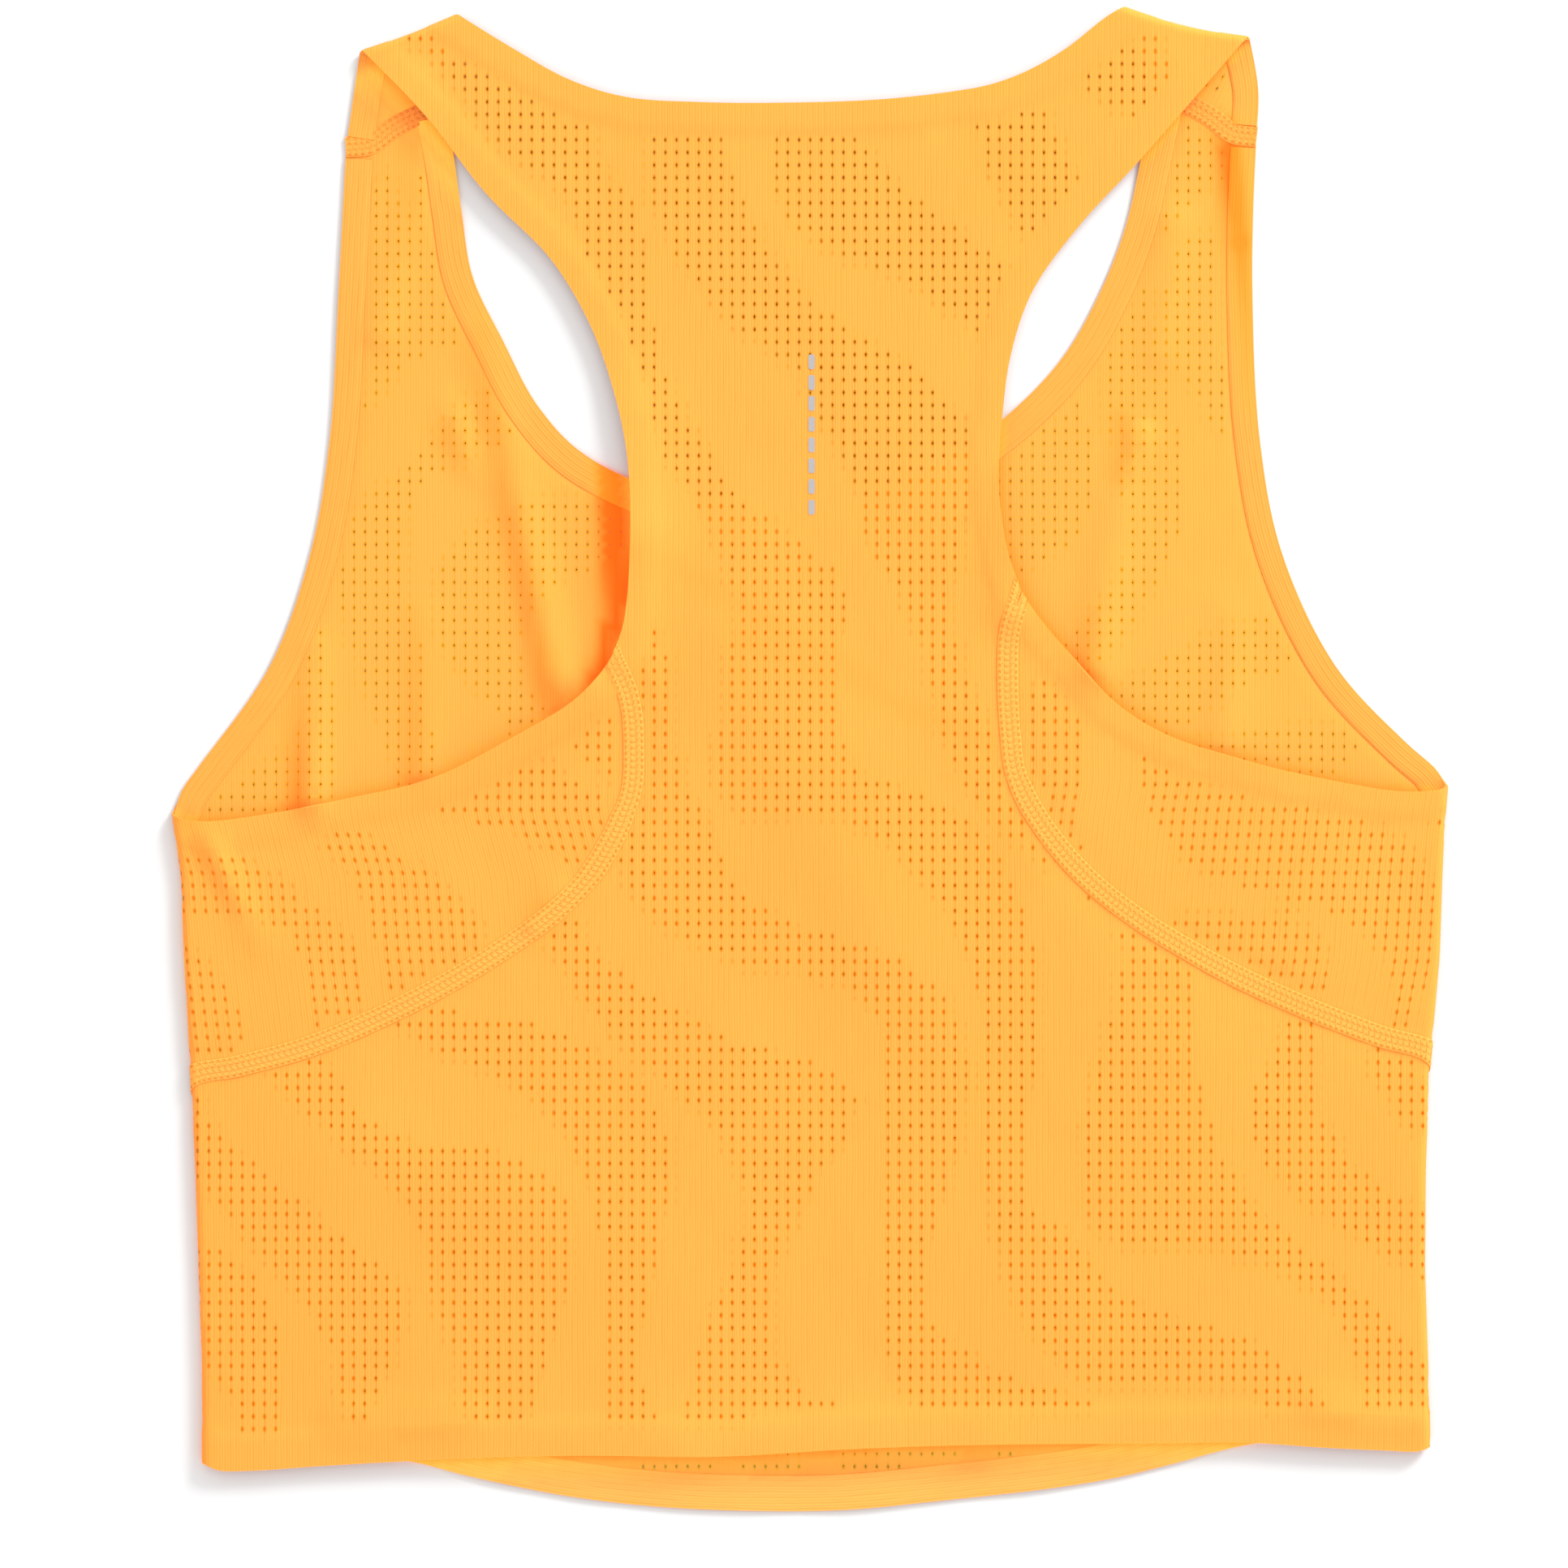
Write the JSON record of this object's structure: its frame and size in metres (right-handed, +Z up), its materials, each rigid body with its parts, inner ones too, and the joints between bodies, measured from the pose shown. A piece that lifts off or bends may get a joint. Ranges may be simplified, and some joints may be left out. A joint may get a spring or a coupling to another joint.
{
  "type": "running crop top",
  "caption": "Sleeveless cropped running top with a racer back, curved back seams and underarm wings, laid flat with its back up.",
  "frame": {"origin": "middle of the plan, on the surface that the top lies on", "axes": "+X to the right of the picture, +Y from the hem to the neck, +Z up, out of the back's outer face"},
  "size_m": [0.424, 0.5, 0.0108],
  "materials": {
    "front_panel_cloth": "matt orange-yellow knit with small eyelet holes",
    "back_panel_cloth": "matt orange-yellow knit with small eyelet holes",
    "front_neck_turning_cloth": "matt orange-yellow knit, plain",
    "left_armhole_turning_cloth": "matt orange-yellow knit, plain",
    "right_armhole_turning_cloth": "matt orange-yellow knit, plain",
    "front_hem_turning_cloth": "matt orange-yellow knit, plain"
  },
  "bodies": {
    "root": {"front_panel": "front_panel_cloth", "back_panel": "back_panel_cloth", "front_neck_turning": "front_neck_turning_cloth", "left_armhole_turning": "left_armhole_turning_cloth", "right_armhole_turning": "right_armhole_turning_cloth", "front_hem_turning": "front_hem_turning_cloth"}
  },
  "joints": []
}
